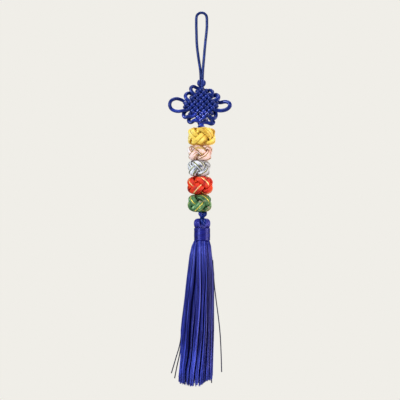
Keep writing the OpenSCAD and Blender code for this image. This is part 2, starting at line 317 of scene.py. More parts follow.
class MeshMaker:
    """Gathers grids and bundles of threads into the arrays of one mesh."""

    def __init__(self) -> None:
        """Starts with no points."""
        self.points: list[Array] = []
        self.tones: list[Array] = []
        self.quads: list[Array] = []
        self.quad_uvs: list[Array] = []
        self.tris: list[Array] = [np.zeros((0, 3), int)]
        self.tri_uvs: list[Array] = [np.zeros((0, 3, 2))]
        self.count = 0

    def _store(self, points: Array, tone: Any) -> int:
        """Keeps points.

        Args:
            points: places in mm on the last axis.
            tone: value of the tone attribute, one number or one that broadcasts to the points.

        Returns:
            The number of the first.
        """
        first = self.count
        self.points.append(points.reshape(-1, 3))
        self.tones.append(np.broadcast_to(tone, points.shape[:-1]).reshape(-1).astype(float))
        self.count += len(self.points[-1])
        return first

    def grid(self, points: Array, spacing: float, closed: bool = False, tone: Any = 0.5) -> None:
        """Adds a surface that closes round its columns.

        An open one ends in a pole, the mean of its last ring, with a fan of triangles. u runs along
        the rows in mm and v once round the columns, from 0 to 1.

        Args:
            points: shape (rows, columns, 3).
            spacing: mm of u from row to row.
            closed: whether the last row joins the first.
            tone: value of the tone attribute, one number or one a point.
        """
        rows, columns = points.shape[:2]
        first = self._store(points, tone)
        n, k = np.meshgrid(np.arange(rows if closed else rows - 1), np.arange(columns), indexing="ij")
        n, k = n.ravel(), k.ravel()
        j = (k + 1) % columns
        row, after = first + n * columns, first + (n + 1) % rows * columns
        self.quads.append(np.stack([row + k, row + j, after + j, after + k], 1))
        u0, u1, v0, v1 = n * spacing, (n + 1) * spacing, k / columns, (k + 1) / columns
        corners = ((u0, v0), (u0, v1), (u1, v1), (u1, v0))
        self.quad_uvs.append(np.stack([np.stack(corner, 1) for corner in corners], 1))
        if closed:
            return
        k = np.arange(columns)
        j = (k + 1) % columns
        for end in (0, rows - 1):
            end_tone = np.broadcast_to(tone, (rows, columns))[end, :1]
            pole = np.full(columns, self._store(points[end].mean(axis=0)[None, :], end_tone))
            rim = first + end * columns
            self.tris.append(np.stack([pole, rim + k, rim + j] if end else [pole, rim + j, rim + k], 1))
            place = np.stack([np.full(columns, end * spacing), (k + 0.5) / columns], 1)
            self.tri_uvs.append(np.repeat(place[:, None, :], 3, axis=1))

    def cord(self, route: Any, spacing: float, size: Pair, around: int, tone: float = 0.5) -> Array:
        """Adds a cord along a route.

        Args:
            route: its points in mm.
            spacing: step along it in mm.
            size: its width and thickness.
            around: points round it.
            tone: value of the tone attribute.

        Returns:
            Its middle line.
        """
        line = smooth_line(route, spacing)
        self.grid(tube(line, level_sides(line), *size, around), spacing, tone=tone)
        return line

    def bundle(self, paths: Array, radius: Array, tone: Array, phase: Array) -> None:
        """Adds many three-sided threads that hang mostly downwards.

        A thread's side is the cross product of its direction and the depth axis, and its section is a
        triangle turned by the thread's phase.

        Args:
            paths: shape (threads, steps, 3).
            radius: shape (threads, steps).
            tone: shape (threads, steps).
            phase: one angle a thread.
        """
        threads, steps = paths.shape[:2]
        along = unit(np.gradient(paths, axis=1))
        side = unit(np.cross(along, (0.0, 1.0, 0.0)))
        normal = np.cross(along, side)
        angle = (phase[:, None] + round_turn(3))[:, None, :, None]
        around = side[:, :, None, :] * np.cos(angle) + normal[:, :, None, :] * np.sin(angle)
        first = self._store(paths[:, :, None, :] + radius[:, :, None, None] * around, tone[:, :, None])
        counts = (np.arange(threads), np.arange(steps - 1), np.arange(3))
        t, n, k = (a.ravel() for a in np.meshgrid(*counts, indexing="ij"))
        j = (k + 1) % 3
        base = first + (t * steps + n) * 3
        self.quads.append(np.stack([base + k, base + j, base + 3 + j, base + 3 + k], 1))
        self.quad_uvs.append(np.repeat(np.stack([n.astype(float), k / 3.0], 1)[:, None, :], 4, axis=1))
        start = first + np.arange(threads)[:, None] * steps * 3
        end = start + (steps - 1) * 3
        caps = np.concatenate([start + [2, 1, 0], end + [0, 1, 2]])
        self.tris.append(caps)
        self.tri_uvs.append(np.zeros((len(caps), 3, 2)))

    def piece(self, name: str, material: Material, nodes: Sequence[str], slot: str) -> bpy.types.Object:
        """Makes the piece, in metres and at the origin, with its UV map and tone attribute.

        Args:
            name: the piece's name.
            material: its finish.
            nodes: the nodes that it stands for.
            slot: not used.

        Returns:
            The piece, which rides on the one body.
        """
        mesh = bpy.data.meshes.new(name)
        faces = np.concatenate(self.quads).tolist() + np.concatenate(self.tris).tolist()
        mesh.from_pydata(np.concatenate(self.points) * MM, [], faces)
        uvs = np.concatenate([a.reshape(-1, 2) for a in self.quad_uvs + self.tri_uvs])
        mesh.uv_layers.new(name="UVMap").data.foreach_set("uv", uvs.astype(np.float32).ravel())
        tones = np.concatenate(self.tones).astype(np.float32)
        mesh.attributes.new("tone", "FLOAT", "POINT").data.foreach_set("value", tones)
        mesh.polygons.foreach_set("use_smooth", np.ones(len(faces), bool))
        mesh.materials.append(material)
        mesh.validate()
        mesh.update()
        piece = placed(name, mesh)
        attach(piece, "root")
        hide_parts(*nodes)
        LOG.info("%s: %d faces, in place of %s", name, len(faces), ", ".join(nodes))
        return piece


# Shader maths


class Value:
    """A shader value. An operator on it adds a Math node."""

    def __init__(self, nodes: NodeSet, socket: Optional[bpy.types.NodeSocket]) -> None:
        """Wraps one output socket of a set of nodes."""
        self.nodes = nodes
        self.socket = socket

    def _math(self, operation: str, first: Scalar, second: Scalar = 0.0) -> Value:
        """Adds one Math node."""
        return self.nodes.node("ShaderNodeMath", {"operation": operation}, {0: first, 1: second})

    def __add__(self, other: Scalar) -> Value:
        """self + other."""
        return self._math("ADD", self, other)

    __radd__ = __add__

    def __sub__(self, other: Scalar) -> Value:
        """self - other."""
        return self._math("SUBTRACT", self, other)

    def __rsub__(self, other: Scalar) -> Value:
        """other - self."""
        return self._math("SUBTRACT", other, self)

    def __mul__(self, other: Scalar) -> Value:
        """self * other."""
        return self._math("MULTIPLY", self, other)

    __rmul__ = __mul__

    def __abs__(self) -> Value:
        """The size without its sign."""
        return self._math("ABSOLUTE", self)

    def __gt__(self, other: Scalar) -> Value:
        """1 where self is more than other."""
        return self._math("GREATER_THAN", self, other)

    def sine(self) -> Value:
        """The sine of the value in radians."""
        return self._math("SINE", self)

    def fraction(self) -> Value:
        """What is left after the whole number below it is taken away."""
        return self._math("FRACT", self)

    def step(self, low: float, high: float) -> Value:
        """Rises smoothly from 0 at low to 1 at high."""
        limits = {"Value": self, "From Min": low, "From Max": high}
        return self.nodes.node("ShaderNodeMapRange", {"interpolation_type": "SMOOTHSTEP"}, limits)


Scalar = Union[Value, float]
Inputs = Mapping[Union[str, int], Any]


def linear(colour: Colour) -> tuple[float, float, float, float]:
    """A screen colour from 0 to 255 as the linear light that shaders use, with an alpha of 1."""
    r, g, b = (c / 255.0 / 12.92 if c <= 10.3 else ((c / 255.0 + 0.055) / 1.055) ** 2.4 for c in colour)
    return r, g, b, 1.0


class NodeSet:
    """The nodes of one material or world. Every node in it comes from the node method."""

    def __init__(self, owner: Union[Material, bpy.types.World]) -> None:
        """Empties a node tree.

        Args:
            owner: the material or the world that has it.
        """
        self.owner = owner
        owner.use_nodes = True
        owner.node_tree.nodes.clear()

    @staticmethod
    def _socket(sockets: Any, key: Union[str, int]) -> bpy.types.NodeSocket:
        """Finds a socket by its number, its identifier or its name."""
        return next((s for s in sockets if s.identifier == key), None) or sockets[key]

    def node(self, kind: str, settings: Optional[Mapping[str, Any]] = None,
             inputs: Optional[Inputs] = None, output: Union[str, int] = 0) -> Value:
        """Adds a node.

        Args:
            kind: the node's type.
            settings: its own settings, set first.
            inputs: values or links of its sockets.
            output: the socket that is given back.

        Returns:
            The wrapped output socket.
        """
        new = self.owner.node_tree.nodes.new(kind)
        for key, value in (settings or {}).items():
            setattr(new, key, value)
        for key, value in (inputs or {}).items():
            socket = self._socket(new.inputs, key)
            if isinstance(value, Value):
                self.owner.node_tree.links.new(value.socket, socket)
            else:
                socket.default_value = value
        return Value(self, self._socket(new.outputs, output) if new.outputs else None)

    def uv(self) -> tuple[Value, ...]:
        """The piece's own UV map: mm along it, and the share of the way round it."""
        place = {0: self.node("ShaderNodeUVMap", {"uv_map": "UVMap"})}
        return tuple(self.node("ShaderNodeSeparateXYZ", inputs=place, output=axis) for axis in "XY")

    def tone(self) -> Value:
        """The piece's own tone attribute."""
        return self.node("ShaderNodeAttribute", {"attribute_name": "tone"}, output="Fac")

    def noise(self, per_metre: float, detail: float = 2.0, stretch: Point = (1, 1, 1)) -> Value:
        """Noise on Object coordinates.

        Args:
            per_metre: how many lumps in a metre.
            detail: number of finer layers.
            stretch: how much more often it repeats along each axis.

        Returns:
            A value about 0.5.
        """
        place = self.node("ShaderNodeTexCoord", output="Object")
        scaled = self.node("ShaderNodeMapping", inputs={"Vector": place, "Scale": stretch})
        inputs = {"Vector": scaled, "Scale": per_metre, "Detail": detail}
        return self.node("ShaderNodeTexNoise", inputs=inputs)

    def noise_on(self, along: Scalar, around: Scalar) -> Value:
        """Noise on a pair of values, such as scaled UVs."""
        place = self.node("ShaderNodeCombineXYZ", inputs={0: along, 1: around})
        return self.node("ShaderNodeTexNoise", inputs={"Vector": place, "Scale": 1.0, "Detail": 2.0})

    def mix(self, factor: Scalar, first: Any, second: Any) -> Value:
        """Mixes two colours: first at factor 0, second at 1."""
        inputs = {"Factor_Float": factor, "A_Color": first, "B_Color": second}
        return self.node("ShaderNodeMix", {"data_type": "RGBA"}, inputs, "Result_Color")

    def bump(self, height: Value, millimetres: float) -> Value:
        """A Bump node whose height of 1 stands that many millimetres proud."""
        inputs = {"Height": height, "Distance": millimetres * MM, "Strength": 1.0}
        return self.node("ShaderNodeBump", inputs=inputs)

    def surface(self, inputs: Inputs) -> Material:
        """Ends the material in a Principled shader with these inputs, and gives it back."""
        self.node("ShaderNodeOutputMaterial", inputs={
            "Surface": self.node("ShaderNodeBsdfPrincipled", inputs=inputs)})
        return self.owner


@dataclass(frozen=True)
class CordFinish:
    """Smooth knotting cord with a fine braided skin."""

    name: str = "braided_cord"
    dark: Colour = (4, 9, 50)
    main: Colour = (16, 40, 112)
    pale: Colour = (42, 64, 166)
    # Paler blue painted on as highlight where the cord is glossier
    painted_highlight: Colour = (48, 76, 230)
    shine: Colour = (160, 172, 255)
    haze: Colour = (120, 130, 225)
    # Braid strands in one turn round the cord, and mm of cord to one plait
    strands: float = 8.0
    plait: float = 1.5
    # Height of the relief in mm, here and below
    relief: float = 0.05

    def make(self) -> Material:
        """Two families of slanting strands that pass over each other by turns.

        Each family is a sine of u / plait plus or minus v * strands, and a checker of both says which
        one lies on top. The grooves between the strands get the dark colour, as painted shade. The tone
        attribute marks where the cord is glossier, and there a paler blue is painted on as highlight.

        Returns:
            The material.
        """
        nodes = NodeSet(bpy.data.materials.new(self.name))
        along, around = nodes.uv()
        right = along * (1.0 / self.plait) + around * self.strands
        left = along * (1.0 / self.plait) - around * self.strands
        over = ((right * 0.5).fraction() > 0.5) * 2.0 - 1.0
        also = ((left * 0.5).fraction() > 0.5) * 2.0 - 1.0
        turn = over * also * 0.5 + 0.5
        ridge = abs((right * math.pi).sine()) * turn + abs((left * math.pi).sine()) * (1.0 - turn)
        lumps = nodes.noise(160.0)
        fibre = nodes.noise_on(along * 9.0, around * 60.0)
        gloss_highlight = nodes.tone()
        # The dark colour in the braid's grooves is painted shade
        colour = nodes.mix(ridge.step(0.1, 0.9), linear(self.dark), linear(self.main))
        colour = nodes.mix(lumps.step(0.5, 0.78) * 0.6, colour, linear(self.pale))
        # Painted highlight: paler blue where the tone marks the glossier rows
        colour = nodes.mix(gloss_highlight * lumps.step(0.45, 0.6) * 0.3, colour, linear(self.painted_highlight))
        height = (ridge * 0.8 + fibre * 0.2) * (1.0 - 0.6 * gloss_highlight)
        return nodes.surface({
            "Base Color": colour,
            "Metallic": 0.15 * gloss_highlight,
            "Roughness": 0.28 + 0.1 * fibre - 0.12 * gloss_highlight,
            "Specular IOR Level": 0.68,
            "Specular Tint": linear(self.shine),
            "Coat Weight": 0.72 * gloss_highlight,
            "Coat Roughness": 0.12,
            "Coat IOR": 1.7,
            "Sheen Weight": 0.02,
            "Sheen Roughness": 0.35,
            "Sheen Tint": linear(self.haze),
            "Normal": nodes.bump(height, self.relief),
        })


@dataclass(frozen=True)
class SilkFinish:
    """Glossy loose or wound thread."""

    name: str
    dark: Colour = (6, 7, 58)
    main: Colour = (34, 41, 130)
    pale: Colour = (78, 91, 200)
    shine: Colour = (160, 164, 255)
    haze: Colour = (120, 124, 230)
    roughness: float = 0.26
    # Fine threads round the piece where they are drawn by bump, 0 where each thread is a mesh
    threads: float = 0.0
    relief: float = 0.05

    def make(self) -> Material:
        """Colours each thread by its tone attribute and a slow noise along its length.

        Returns:
            The material.
        """
        nodes = NodeSet(bpy.data.materials.new(self.name))
        streaks = nodes.noise(80.0, 2.0, (5.0, 5.0, 0.3))
        depth = nodes.tone() * 0.9 + streaks * 0.9 - 0.42
        colour = nodes.mix(depth.step(0.1, 0.55), linear(self.dark), linear(self.main))
        inputs = {
            "Base Color": nodes.mix(depth.step(0.6, 0.95), colour, linear(self.pale)),
            "Roughness": self.roughness + 0.16 * streaks,
            "Specular IOR Level": 0.85,
            "Specular Tint": linear(self.shine),
            "Sheen Weight": 0.02,
            "Sheen Roughness": 0.3,
            "Sheen Tint": linear(self.haze),
        }
        if self.threads:
            around = nodes.uv()[1]
            fine = abs((around * (self.threads * math.pi) + nodes.noise(140.0) * 1.5).sine())
            inputs["Normal"] = nodes.bump(fine, self.relief)
        return nodes.surface(inputs)


@dataclass(frozen=True)
class BrocadeFinish:
    """Woven fabric strip with a stitched gold line along its middle."""

    dark: Colour
    main: Colour
    pale: Colour
    spot: Colour
    # Share of the strip that the spot colour takes, and how much of the line shows
    spots: float = 0.3
    line: Colour = (226, 178, 66)
    line_shows: float = 0.7
    line_width: float = 0.016
    # How far each line lies from the middle, as a share of the way round
    line_off: float = 0.0
    patch: float = 120.0
    # Share of the patches that are streaks along the strip
    streaks: float = 0.3
    relief: float = 0.12

    def make(self, name: str) -> Material:
        """Mixes patches of colour on Object coordinates, with the weave and the line on UVs.

        The line follows v = 0.25, the outermost part of the strand, or lies on both sides of it, and a
        noise along u breaks it.

        Args:
            name: the material's name.

        Returns:
            The material.
        """
        nodes = NodeSet(bpy.data.materials.new(name))
        along, around = nodes.uv()
        patches = nodes.noise(self.patch, 3.0) * (1.0 - self.streaks)
        patches = patches + nodes.noise_on(along * 0.22, around * 16.0) * self.streaks
        spots = nodes.noise(self.patch * 1.3 + 17.0, 2.0, (1.0, 1.2, 1.5))
        spotted = spots.step(0.78 - 0.5 * self.spots, 0.84 - 0.5 * self.spots)
        # Painted shade: low tones, on the strand's inward face, along its middle valley and on the
        # padding, are mixed towards the dark colour
        painted_shade = 1.0 - nodes.tone().step(0.0, 0.45)
        breaks = nodes.noise_on(along * 0.16, 3.0)
        centre = 1.0 - abs(abs(around - 0.25) - self.line_off).step(self.line_width * 0.5, self.line_width)
        shown = centre * breaks.step(0.62 - 0.4 * self.line_shows, 0.68 - 0.4 * self.line_shows)
        colour = nodes.mix(patches.step(0.36, 0.5), linear(self.dark), linear(self.main))
        colour = nodes.mix(patches.step(0.52, 0.66), colour, linear(self.pale))
        colour = nodes.mix(spotted * 0.85, colour, linear(self.spot))
        colour = nodes.mix(painted_shade * 0.6, colour, linear(self.dark))
        weave = (along * 11.0).sine() * (around * 260.0).sine()
        slubs = nodes.noise(900.0, 3.0)
        return nodes.surface({
            "Base Color": nodes.mix(shown, colour, linear(self.line)),
            "Roughness": 0.52 - 0.2 * shown + 0.1 * slubs,
            "Metallic": shown * 0.55,
            "Specular IOR Level": 0.38,
            "Sheen Weight": 0.12,
            "Sheen Roughness": 0.4,
            "Sheen Tint": linear(self.pale),
            "Normal": nodes.bump(weave * 0.25 + slubs * 0.5 + shown * 0.9, self.relief),
        })


@dataclass(frozen=True)
class FloorFinish:
    """Matt paper-like surface."""

    main: Colour = (244, 242, 237)
    shade: Colour = (205, 202, 196)

    def make(self) -> Material:
        """One pale colour with a faint noise.

        Returns:
            The material.
        """
        nodes = NodeSet(bpy.data.materials.new("pale_floor"))
        colour = nodes.mix(nodes.noise(3.0) * 0.2, linear(self.main), linear(self.shade))
        return nodes.surface({"Base Color": colour, "Roughness": 0.8})


# The ornament's own pieces, in mm, on the routes of the part's source


@dataclass
class HangingLoop:
    """The loop of cord at the top."""

    cord: Material
    diameter: float = 2.75
    spacing: float = 0.5
    around: int = 20
    route: Route = (
        (-0.7, 1.1, -64.6), (-0.8, 1, -61), (-1.3, 0.6, -55), (-2.4, 0.2, -48), (-3.4, 0, -41),
        (-4.3, 0, -34), (-4.8, 0, -27), (-5, 0, -20), (-5.2, 0, -13), (-5.2, 0, -8), (-5.1, 0, -4),
        (-4.4, 0, -1.3), (-2.5, 0, 0.6), (0.1, 0, 1.3), (2.7, 0, 0.6), (4.6, 0, -1.3), (5.3, 0, -4),
        (5.4, 0, -8), (5.4, 0, -13), (4.9, 0, -19), (4.1, 0, -26), (3.4, 0, -33), (2.8, 0, -40),
        (2.2, -0.2, -47), (1.6, -0.6, -54), (1.2, -1, -60), (1.1, -1.1, -64.6),
    )

    def build(self) -> None:
        maker = MeshMaker()
        line = maker.cord(self.route, self.spacing, (self.diameter, self.diameter), self.around, 0.0)
        piece = maker.piece("hanging_cord", self.cord, ["hanging_loop"], "cord")
        length = float(lengths(line).sum()) * MM
        tuple(line[0] * MM)
        (line[::3] * MM).tolist()


@dataclass
class PairedKnot:
    """A small heart-shaped knot on a pair of cords: one wrap leans to each side, and they cross below."""

    name: str
    node: str
    cord: Material
    middle: Point
    # Routes of the two cords that run through it
    pair: tuple[Route, Route]
    # How far a wrap's centre line lies from the middle at its top, at half height and at its bottom
    spread: Point = (1.7, 2.75, 0.7)
    rise: float = 2.95
    depth: float = 2.3
    # Width of a wrap above and below
    wide: Pair = (3.4, 2.5)
    thick: float = 2.3
    # Width and thickness of the cords that run through it
    pair_size: Pair = (2.6, 2.4)
    spacing: float = 0.35
    # For each wrap, 1 right or -1 left, and how much further forward its lower crossing lies
    wraps: tuple[Pair, ...] = ((1.0, -0.25), (-1.0, 0.35))
    # Turn of the whole knot in its face, in degrees
    turn: float = 0.0

    def wrap(self, way: float, forward: float) -> Array:
        """One wrap: height = rise * cos a, depth = depth * sin a, and x a parabola of the height.

        Args:
            way: 1 for the right wrap and -1 for the left one.
            forward: how much further forward its lower crossing lies, in mm.

        Returns:
            Its surface, about the knot's middle.
        """
        a = np.linspace(0.0, FULL, 120, endpoint=False)
        s = np.cos(a)
        top, half, low = self.spread
        x = half + (top - low) / 2 * s + ((top + low) / 2 - half) * s * s
        y = -self.depth * np.sin(a) - forward * (1 - s) / 2
        wide = self.wide[1] + (self.wide[0] - self.wide[1]) * eased(s, -0.9, 0.1)
        line = smooth_line(np.stack([way * x, y, self.rise * s, wide], 1), self.spacing, closed=True)
        path = line[:, :3]
        side = unit(np.cross(directions(path, True), path - path.mean(axis=0)))
        return tube(path, side, line[:, 3], self.thick, 20, closed=True)

    def build(self) -> None:
        """Makes both wraps and the pair of cords that runs through them."""
        maker = MeshMaker()
        c, s = math.cos(math.radians(self.turn)), math.sin(math.radians(self.turn))
        spin = np.array([[c, 0, -s], [0, 1, 0], [s, 0, c]])
        for way, forward in self.wraps:
            points = self.wrap(way, forward) @ spin + np.array(self.middle)
            maker.grid(points, self.spacing, closed=True, tone=0.0)
        for route in self.pair:
            maker.cord(route, 0.4, self.pair_size, 16, 0.0)
        maker.piece(self.name, self.cord, [self.node], "cord")


class Lean(Enum):
    """Which way a line of the endless knot leans: like a slash, or like a backslash."""

    RIGHT = "right"
    LEFT = "left"


class Mat(Enum):
    """The two layers of the endless knot, as signs of the depth axis."""

    FRONT = -1.0
    BACK = 1.0


@dataclass(frozen=True)
class LineEnd:
    """The upper or the lower end of a line of the endless knot. Line 0 is the uppermost of its lean."""

    lean: Lean
    line: int
    low: bool

    def far(self) -> LineEnd:
        """The same line's other end."""
        return LineEnd(self.lean, self.line, not self.low)

    def outside(self, t: Any) -> Array:
        """1 where the line lies outside at its crossing t, and -1 where it lies inside."""
        return np.where(((self.line + t) % 2 == 0) == (self.lean is Lean.RIGHT), 1.0, -1.0)


@dataclass(frozen=True)
class KnotCord:
    """One of the endless knot's two cords: where it comes in, its five ears, and where it goes out."""

    side: str
    first: Lean
    start: Point
    # The ears' points, about the knot's middle, and the cord's width in each
    ears: tuple[Route, ...]
    widths: tuple[float, ...]
    # Depth at which the corner ear starts
    corner_depth: float
    end: Route


RIGHT_CORD = KnotCord(
    "right", Lean.RIGHT, (0.8, -2.4, -73.6), (
        ((4.6, 4.2, 13.7), (8.9, 1.5, 15.0), (11.4, -1.2, 13.0), (10.7, -2.2, 10.5)),
        ((12.0, 2.2, 9.6), (15.7, 0.8, 10.0), (17.1, -1, 7.7), (15.5, -2.1, 5.1)),
        ((14.6, 4.0, 4.2), (16.6, 4.5, 3.1), (19.6, 4, 2.8), (24.4, 2.2, 3.5), (27.8, 0.4, 2.2),
         (28.9, 0, -0.4), (27.2, 0, -3.2), (23.8, -0.6, -5.0), (18.7, -1.6, -5.7)),
        ((14.2, 1.9, -7.0), (14.6, 0, -11.2), (12.0, -1.7, -13.7)),
        ((10.4, 1.9, -14.8), (12.4, 0, -17.5), (10.4, -1.1, -18.9), (6.6, -1.8, -17.7)),
    ), (3.5, 4.5, 3.9, 4.0, 3.8), 3.4,
    ((1.3, 2.2, -107.8), (1.1, 1.9, -109.4), (-0.6, 1.2, -111.2), (-2.1, 0.2, -113.0),
     (-2.4, -0.1, -115.3)))

LEFT_CORD = KnotCord(
    "left", Lean.LEFT, (-1.1, -0.3, -73.7), (
        ((-4.6, 2.2, 17.4), (-7.9, 0.8, 18.7), (-10.3, -1, 16.6), (-9.4, -2.1, 13.4)),
        ((-10.0, 2.2, 11.5), (-13.1, 0.8, 12.0), (-15.7, -1, 9.3), (-14.9, -2.1, 6.6)),
        ((-14.4, 3.4, 4.4), (-16.4, 4.4, 4.0), (-20.4, 4, 5.7), (-25.3, 2, 6.5), (-29.9, 0.4, 4.3),
         (-31.4, 0, 0.2), (-29.6, 0, -4.0), (-24.1, -0.6, -6.3), (-18.5, -1.6, -5.8)),
        ((-16.2, 1.9, -6.6), (-17.5, 0, -10.0), (-16.0, -1.0, -12.4), (-13.4, -1.7, -11.8)),
        ((-11.6, 1.9, -13.2), (-12.3, 0.2, -16.2), (-10.3, -1.1, -17.5), (-6.0, -1.8, -15.3)),
    ), (3.5, 3.5, 3.5, 3.8, 3.8), 2.32,
    ((-2.3, 1.9, -108.2), (-1.9, -0.8, -109.9), (-0.2, -2.3, -111.1), (1.3, -1.7, -112.9),
     (1.5, -0.2, -115.3)))


@dataclass
class EndlessKnot:
    """The flat knot of two cords, each doubled along lines in a front and a back mat.

    Six doubled lines lean right and six lean left. A right-leaning line lies outside at each second
    crossing, in both mats.
    """

    cord: Material
    middle_x: float = -0.4
    middle_z: float = -91.0
    cell_w: float = 2.88
    cell_h: float = 3.1
    weave: float = 1.15
    mat_y: float = 2.32
    corner_pull: float = 0.4
    flat_half: float = 0.25
    # Width and thickness of the cord in a turn and in the weave, where it is pressed flat. The back mat
    # is pressed flattest, so no light comes through.
    turn_size: Pair = (3.6, 2.6)
    front_size: Pair = (3.05, 2.4)
    back_size: Pair = (4.3, 2.2)
    ear_thick: float = 2.6
    # How far past a line's last crossing an ear starts
    ear_start: float = 0.45
    # How much wider and thicker the cord is where it lies outside than half way
    swell: float = 0.28
    # Step along the cords, points round them, and how many times their lines are eased
    spacing: float = 0.35
    around: int = 18
    ease: int = 4
    # How far a turn reaches past its last crossing at its sides and its top, and how deep its sides
    # lie as a share of the crossing's depth, where the line lies outside there and where it doesn't
    turn_outside: Point = (0.66, 0.98, 0.75)
    turn_inside: Point = (0.70, 1.06, 1.15)
    # How far below the hanging point the gloss and its painted highlight set in and where they fade,
    # each from and to, and how far they reach to the sides
    gloss_highlight_starts: Pair = (94.0, 100.0)
    gloss_highlight_fades: Pair = (104.0, 110.0)
    gloss_highlight_side: float = 8.5
    # Turns that are pulled tighter than the others, and their share of the usual reach
    tight: tuple[tuple[LineEnd, float], ...] = (
        (LineEnd(Lean.LEFT, 1, False), 0.62), (LineEnd(Lean.LEFT, 3, False), 0.62),
        (LineEnd(Lean.RIGHT, 5, False), 0.6), (LineEnd(Lean.LEFT, 0, True), 0.6),
        (LineEnd(Lean.RIGHT, 0, True), 0.8), (LineEnd(Lean.LEFT, 5, False), 0.8))

    def at(self, end: LineEnd, t: Any, depth: Any, size: Any) -> Array:
        """Points along one line of the weave.

        Place t lies line + t - 5 cells below the middle, and line - t cells to the right of it, or to
        the left on a line that leans left. The knot's top corner is pulled further up.

        Args:
            end: an end of the line.
            t: places along it, counted in crossings.
            depth: y at each place.
            size: the cord's width and thickness, for all the places or for each.

        Returns:
            Rows of x, y, z, width and thickness.
        """
        t = np.asarray(t, float)
        across = (end.line - t) if end.lean is Lean.RIGHT else (t - end.line)
        down = end.line + t - 5.0
        z = self.middle_z - self.cell_h * down - self.corner_pull * np.maximum(0.0, -down - 4.0)
        y = np.broadcast_to(np.asarray(depth, float), t.shape)
        return self.sized(np.stack([self.middle_x + self.cell_w * across, y, z], axis=-1), size)

    @staticmethod
    def sized(points: Any, size: Any) -> Array:
        """Adds a width and a thickness to each point."""
        return np.concatenate([points, np.broadcast_to(size, (len(points), 2))], axis=1)

    def run(self, start: LineEnd, mat: Mat) -> Array:
        """One pass along a line, over and under by turns.

        Args:
            start: the end that it starts from.
            mat: the layer that it lies in.

        Returns:
            Rows of x, y, z, width and thickness.
        """
        t = np.repeat(np.arange(6), 2)
        out = start.outside(t)
        depth = mat.value * (self.mat_y + self.weave * out)
        size = np.array(self.front_size if mat is Mat.FRONT else self.back_size)
        places = t + np.tile([-self.flat_half, self.flat_half], 6)
        points = self.at(start, places, depth, size + self.swell * out[:, None])
        return points[::-1] if start.low else points

    def hairpin(self, end: LineEnd) -> Array:
        """The turn past a line's end, from the front mat to the back one.

        Args:
            end: that end.

        Returns:
            Rows of x, y, z, width and thickness.
        """
        t, way = (5, 1.0) if end.low else (0, -1.0)
        out = float(end.outside(t))
        side, top, share = self.turn_outside if out > 0 else self.turn_inside
        reach = way * dict(self.tight).get(end, 1.0) * np.array([side, top, side])
        depth = Mat.FRONT.value * (self.mat_y + self.weave * out) * np.array([share, 0.0, -share])
        return self.at(end, t + reach, depth, self.turn_size)

    def ear_end(self, end: LineEnd, y: float) -> Array:
        """Where an ear starts from a line's end, or comes back to it."""
        return self.at(end, [5 + self.ear_start if end.low else -self.ear_start], y, self.turn_size)

    def doubled(self, start: LineEnd) -> list[Array]:
        """There along a line in the front mat, and home in the back one."""
        return [self.run(start, Mat.FRONT), self.hairpin(start.far()), self.run(start.far(), Mat.BACK)]

    def route(self, cord: KnotCord) -> Array:
        """One whole cord of the knot.

        It does its first lean's lines 0, 2 and 4 from above, passes its corner ear, and does the other
        lean's lines 1, 3 and 5 from below.

        Args:
            cord: the cord.

        Returns:
            Rows of x, y, z, width and thickness.
        """
        other = Lean.LEFT if cord.first is Lean.RIGHT else Lean.RIGHT
        ends = [LineEnd(cord.first, line, False) for line in (0, 2, 4)]
        ends += [LineEnd(other, line, True) for line in (1, 3, 5)]
        middle = np.array([self.middle_x, 0.0, self.middle_z])
        pieces = [self.sized([cord.start], self.turn_size), *self.doubled(ends[0])]
        for here, there, ear, width in zip(ends, ends[1:], cord.ears, cord.widths):
            pieces += [
                self.ear_end(here, self.mat_y if here.low == there.low else cord.corner_depth),
                self.sized(np.array(ear) + middle, (width, self.ear_thick)),
                self.ear_end(there, -self.mat_y),
                *self.doubled(there),
            ]
        return np.concatenate([*pieces, self.sized(cord.end, self.turn_size)])

    def build(self) -> None:
        """Makes both cords. The lower rows near the middle are glossier, and painted paler there as
        highlight.
        """
        for cord in (RIGHT_CORD, LEFT_CORD):
            line = smooth_line(self.route(cord), self.spacing, ease=self.ease)
            path = line[:, :3]
            down, away = -path[:, 2], np.abs(path[:, 0] + 0.6)
            # Glossier cord with a paler blue painted on as highlight, on the lower rows near the middle
            gloss_highlight = eased(down, *self.gloss_highlight_starts) * eased(self.gloss_highlight_side - away, -1.0, 2.0)
            gloss_highlight = 0.1 + 0.9 * gloss_highlight * (1.0 - 0.45 * eased(down, *self.gloss_highlight_fades))
            surface = tube(path, level_sides(path), line[:, 3], line[:, 4], self.around)
            maker = MeshMaker()
            maker.grid(surface, self.spacing, tone=gloss_highlight[:, None])
            maker.piece(f"knot_cord_{cord.side}", self.cord, [f"endless_knot_{cord.side}"], "cord")


